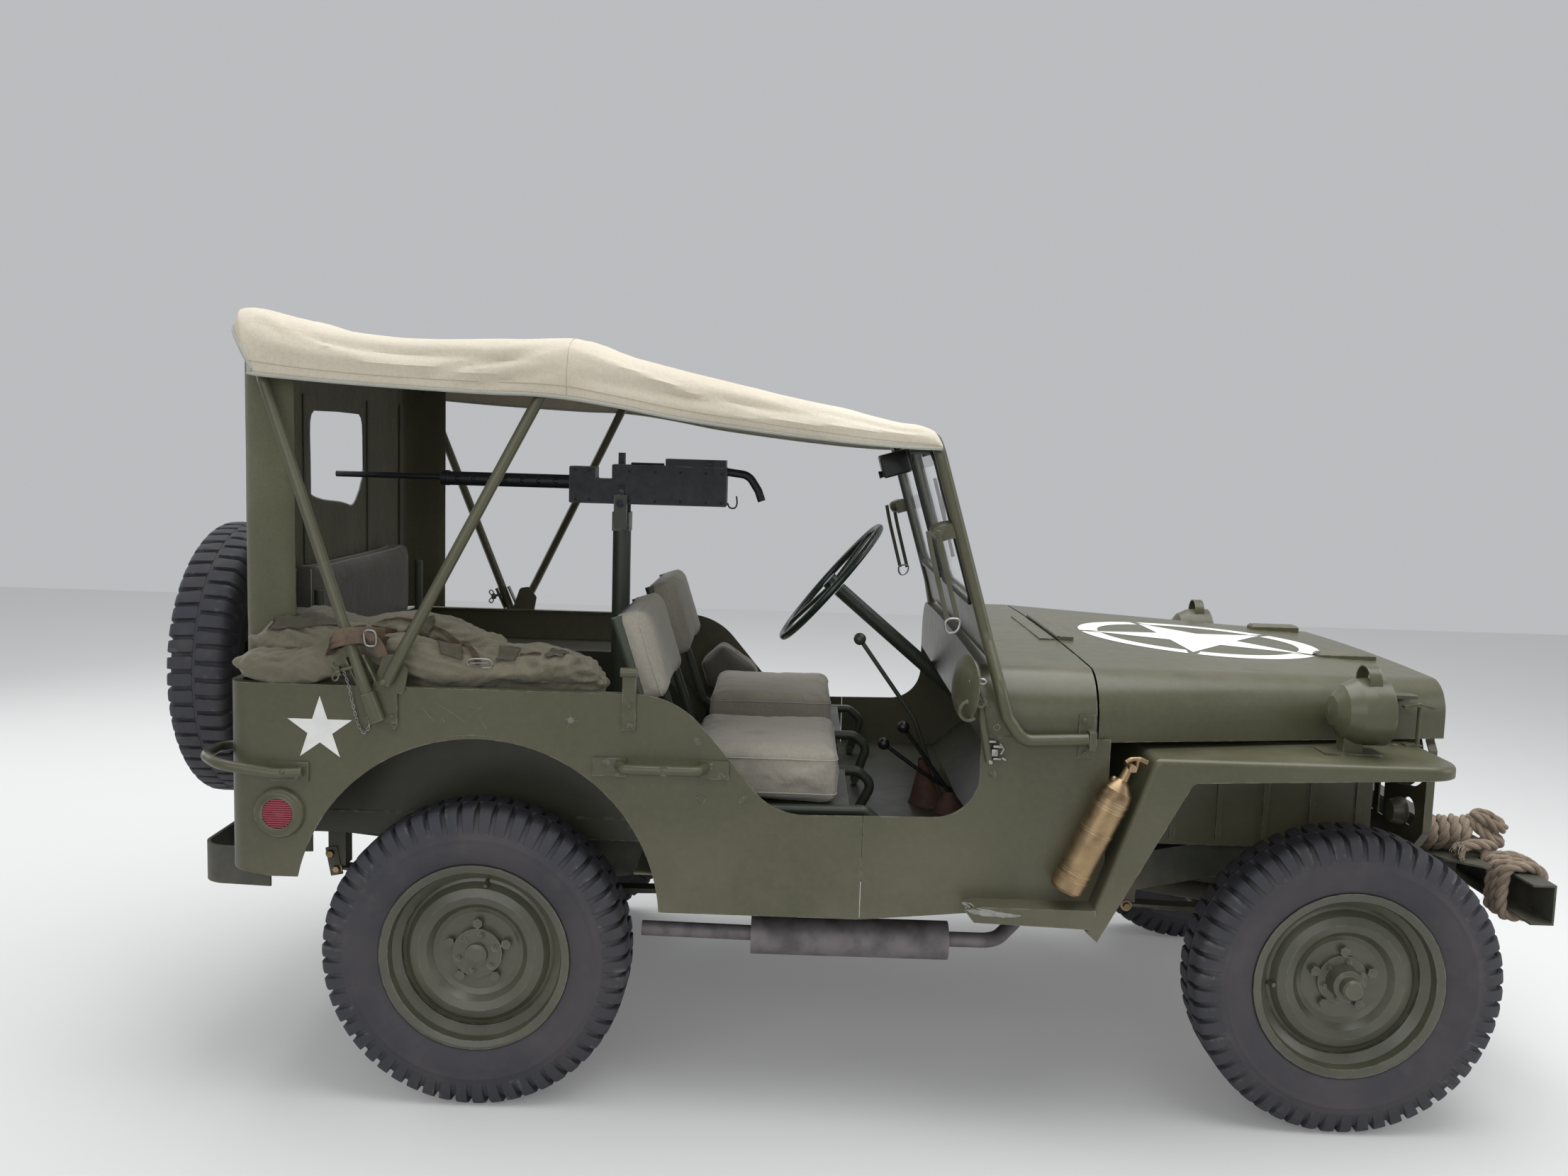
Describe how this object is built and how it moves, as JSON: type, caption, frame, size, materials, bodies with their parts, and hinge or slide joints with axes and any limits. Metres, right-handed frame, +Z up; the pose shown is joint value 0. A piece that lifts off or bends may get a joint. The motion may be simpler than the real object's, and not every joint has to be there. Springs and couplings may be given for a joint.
{
  "type": "army 4x4 car",
  "caption": "Small open army car with four driven wheels, flat fenders, slotted grille, folding windshield frame, canvas top on tube bows and a spare wheel on the back.",
  "frame": {"origin": "on the ground under the middle of the car's length and width", "axes": "+X forward, +Y to the car's left, +Z up"},
  "size_m": [3.344, 1.5915, 1.846],
  "materials": {
    "body_paint": "matt olive paint, worn and dusty",
    "inner_paint": "satin dark green paint",
    "frame_paint": "dark green chassis paint, dusty",
    "wheel_paint": "matt olive paint",
    "tyre": "worn black rubber with grey dirt",
    "cast_iron": "painted casting",
    "exhaust_steel": "dull, slightly rusty sheet steel",
    "glass": "clear flat glass",
    "top_canvas": "faded khaki duck",
    "curtain_canvas": "olive duck",
    "seat_canvas": "khaki duck over padding",
    "steering_plastic": "smooth dark green moulding",
    "gun_steel": "blued steel, worn on the edges",
    "brass": "tarnished brass",
    "bundle_canvas": "weathered khaki canvas",
    "lamp_glass": "glass of the head lamps over a silvered bowl",
    "reflector_red": "ribbed red reflector in a painted ring",
    "rope": "three-strand natural fibre rope"
  },
  "bodies": {
    "car": {"body_tub": "body_paint", "cowl": "body_paint", "grille": "body_paint", "right_fender": "body_paint", "left_fender": "body_paint", "frame": "frame_paint", "front_bumper": "frame_paint", "rear_bumperettes": "frame_paint", "spare_tyre": "tyre", "spare_disc": "wheel_paint", "rear_axle": "frame_paint", "front_axle": "frame_paint", "leaf_springs": "frame_paint", "gearbox": "cast_iron", "engine_block": "cast_iron", "drive_shafts": "frame_paint", "exhaust": "exhaust_steel", "windshield_frame": "body_paint", "windshield_glass": "glass", "rear_bow": "body_paint", "front_bow": "body_paint", "canvas_top": "top_canvas", "rear_curtain": "curtain_canvas", "driver_seat_frame": "inner_paint", "driver_seat_cushion": "seat_canvas", "driver_seat_back": "seat_canvas", "rear_seat_frame": "inner_paint", "rear_seat_pads": "seat_canvas", "side_pad": "seat_canvas", "fuel_tank": "inner_paint", "steering_column": "inner_paint", "gear_levers": "inner_paint", "gun_pedestal": "inner_paint", "dummy_gun": "gun_steel", "grab_handles": "body_paint", "fender_lamps": "body_paint", "fire_extinguisher": "brass", "canvas_bundle": "bundle_canvas", "bumper_rope": "rope", "radiator": "frame_paint", "head_lamps": "lamp_glass", "brackets": "body_paint", "reflectors": "reflector_red", "tow_hook": "frame_paint"},
    "hood": {"hood": "body_paint"},
    "right_knuckle": {"right_knuckle": "frame_paint"},
    "left_knuckle": {"left_knuckle": "frame_paint"},
    "tie_rod": {"tie_rod": "frame_paint"},
    "front_right_wheel": {"front_right_tyre": "tyre", "front_right_disc": "wheel_paint"},
    "front_left_wheel": {"front_left_tyre": "tyre", "front_left_disc": "wheel_paint"},
    "rear_right_wheel": {"rear_right_tyre": "tyre", "rear_right_disc": "wheel_paint"},
    "rear_left_wheel": {"rear_left_tyre": "tyre", "rear_left_disc": "wheel_paint"},
    "steering_wheel": {"steering_wheel": "steering_plastic"},
    "passenger_seat": {"passenger_seat_frame": "inner_paint", "passenger_seat_cushion": "seat_canvas", "passenger_seat_back": "seat_canvas"}
  },
  "joints": [
    {"name": "rear_right_spin", "type": "hinge", "parent": "car", "child": "rear_right_wheel", "pos_m": [-0.865, -0.6225, 0.358], "axis": [0, 1, 0], "continuous": true},
    {"name": "rear_left_spin", "type": "hinge", "parent": "car", "child": "rear_left_wheel", "pos_m": [-0.865, 0.6225, 0.358], "axis": [0, 1, 0], "continuous": true},
    {"name": "right_steer", "type": "hinge", "parent": "car", "child": "right_knuckle", "pos_m": [1.167, -0.548, 0.358], "axis": [0, 0, 1], "range_deg": [-26, 26]},
    {"name": "left_steer", "type": "hinge", "parent": "car", "child": "left_knuckle", "pos_m": [1.167, 0.548, 0.358], "axis": [0, 0, 1], "range_deg": [-26, 26]},
    {"name": "front_right_spin", "type": "hinge", "parent": "right_knuckle", "child": "front_right_wheel", "pos_m": [1.167, -0.6225, 0.358], "axis": [0, 1, 0], "continuous": true},
    {"name": "front_left_spin", "type": "hinge", "parent": "left_knuckle", "child": "front_left_wheel", "pos_m": [1.167, 0.6225, 0.358], "axis": [0, 1, 0], "continuous": true},
    {"name": "tie_rod_pivot", "type": "hinge", "parent": "right_knuckle", "child": "tie_rod", "pos_m": [1.017, -0.52, 0.312], "axis": [0, 0, 1], "range_deg": [-26, 26]},
    {"name": "steering_turn", "type": "hinge", "parent": "car", "child": "steering_wheel", "pos_m": [-0.035, 0.35, 1.16], "axis": [-0.7679, 0, 0.6406], "range_deg": [-362, 362]},
    {"name": "hood_hinge", "type": "hinge", "parent": "car", "child": "hood", "pos_m": [0.546, 0, 1.09], "axis": [0, -1, 0], "range_deg": [0, 115]},
    {"name": "passenger_seat_tip", "type": "hinge", "parent": "car", "child": "passenger_seat", "pos_m": [0.047, -0.35, 0.601], "axis": [0, 1, 0], "range_deg": [0, 50]}
  ],
  "couplings": [
    {"joint": "left_steer", "follows": "right_steer", "ratio": 1},
    {"joint": "tie_rod_pivot", "follows": "right_steer", "ratio": -1},
    {"joint": "steering_turn", "follows": "right_steer", "ratio": 13.85}
  ]
}
